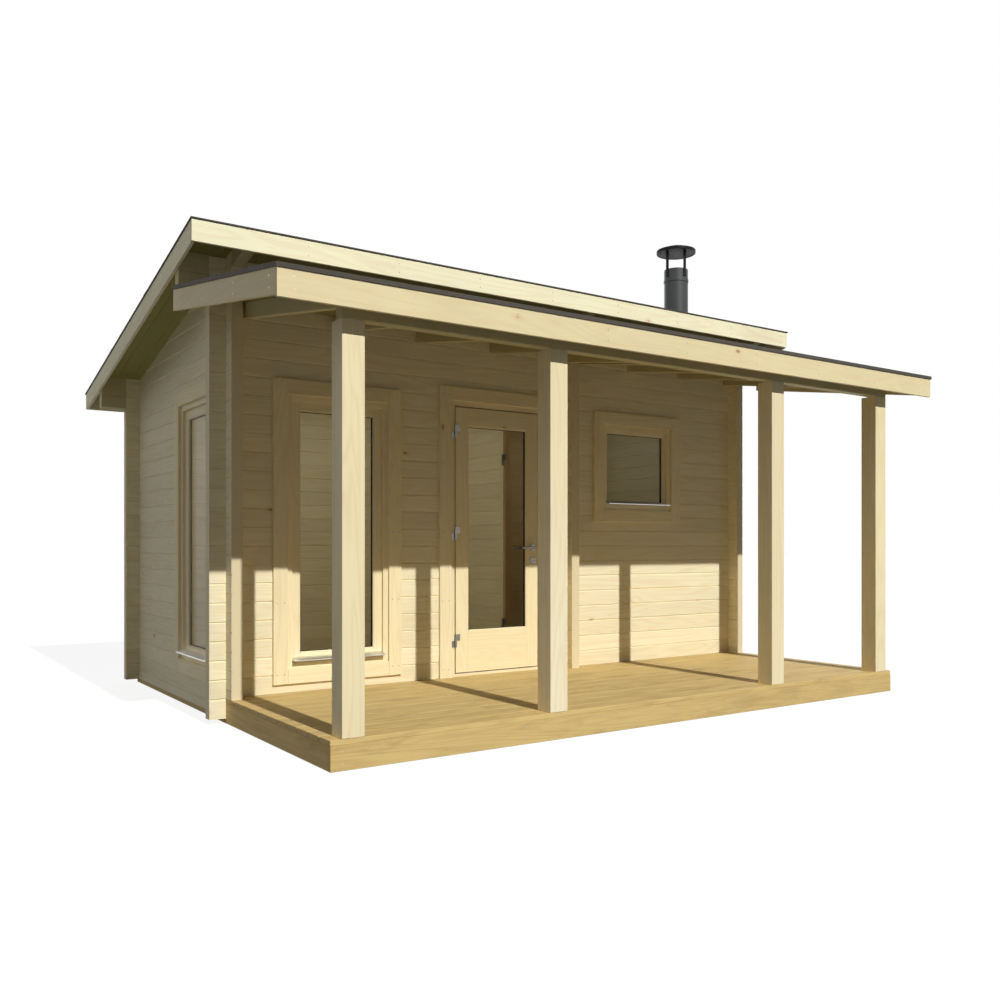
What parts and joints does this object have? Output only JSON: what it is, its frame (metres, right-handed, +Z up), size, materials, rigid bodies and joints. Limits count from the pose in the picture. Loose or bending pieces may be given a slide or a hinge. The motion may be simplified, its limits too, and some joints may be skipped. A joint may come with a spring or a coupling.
{
  "type": "log sauna cabin with porch",
  "caption": "Unpainted log sauna cabin: interlocking log walls, monopitch main roof, lower porch roof on square posts over a deck, glazed door, windows, partition and steel chimney.",
  "frame": {"origin": "ground level under the middle of the bounding box", "axes": "+Z up; the porch and the entrance face -Y; +X to the right seen from the porch"},
  "size_m": [5.072, 4.156, 3.682],
  "materials": {
    "pine_logs": "planed unpainted pine logs, satin",
    "pine_joinery": "smooth unpainted pine joinery, satin",
    "pine_trim": "planed unpainted pine boards, satin",
    "pine_posts": "planed laminated pine, satin",
    "pine_fascia": "planed unpainted pine boards, satin",
    "pine_boards": "tongued pine boards, matt",
    "treated_timber": "pressure-treated pine boards, matt",
    "window_glass": "clear sealed glazing",
    "bronze_glass": "bronze-tinted toughened glass",
    "door_metal": "satin steel",
    "inner_pull": "oiled hardwood pulls on satin steel hinges",
    "weather_bar": "plain mill-finish bar",
    "roof_felt": "mineral-faced bitumen felt",
    "chimney_steel": "dark grey heatproof paint"
  },
  "bodies": {
    "cabin": {"base_beams": "treated_timber", "floor_joists": "treated_timber", "door_sill": "treated_timber", "deck_beams": "treated_timber", "deck_joists": "treated_timber", "deck_boards": "treated_timber", "deck_front_board": "treated_timber", "deck_side_boards": "treated_timber", "cabin_floor": "pine_boards", "porch_roof_boards": "pine_boards", "main_roof_boards": "pine_boards", "front_wall_left": "pine_logs", "front_wall_over_door": "pine_logs", "front_wall_right": "pine_logs", "left_wall": "pine_logs", "right_wall": "pine_logs", "back_wall": "pine_logs", "partition_front": "pine_logs", "partition_back": "pine_logs", "partition_over_door": "pine_logs", "eaves_log_ends": "pine_logs", "door_frame": "pine_joinery", "window_frames": "pine_joinery", "inner_door_frame": "pine_joinery", "door_casing": "pine_trim", "window_casings": "pine_trim", "window_panes": "window_glass", "hinge_pins": "door_metal", "weather_bars": "weather_bar", "porch_posts": "pine_posts", "porch_beam": "pine_posts", "porch_rafters": "pine_posts", "roof_purlins": "pine_posts", "porch_fascia": "pine_fascia", "porch_barge_boards": "pine_fascia", "main_roof_fascias": "pine_fascia", "main_roof_barge_boards": "pine_fascia", "porch_roof_felt": "roof_felt", "main_roof_felt": "roof_felt", "chimney_pipe": "chimney_steel", "chimney_cap": "chimney_steel", "chimney_flashing": "chimney_steel"},
    "entrance_door": {"door_leaf": "pine_joinery", "door_glass": "window_glass", "door_handle": "door_metal", "door_hinge_sockets": "door_metal"},
    "inner_door": {"inner_door_glass": "bronze_glass", "inner_door_fittings": "inner_pull"}
  },
  "joints": [
    {"name": "entrance_hinge", "type": "hinge", "parent": "cabin", "child": "entrance_door", "pos_m": [-0.605, -0.4565, 0.15], "axis": [0, 0, -1], "range_deg": [0, 100]},
    {"name": "inner_hinge", "type": "hinge", "parent": "cabin", "child": "inner_door", "pos_m": [0.3455, 0.352, 0.15], "axis": [0, 0, -1], "range_deg": [0, 95]}
  ]
}
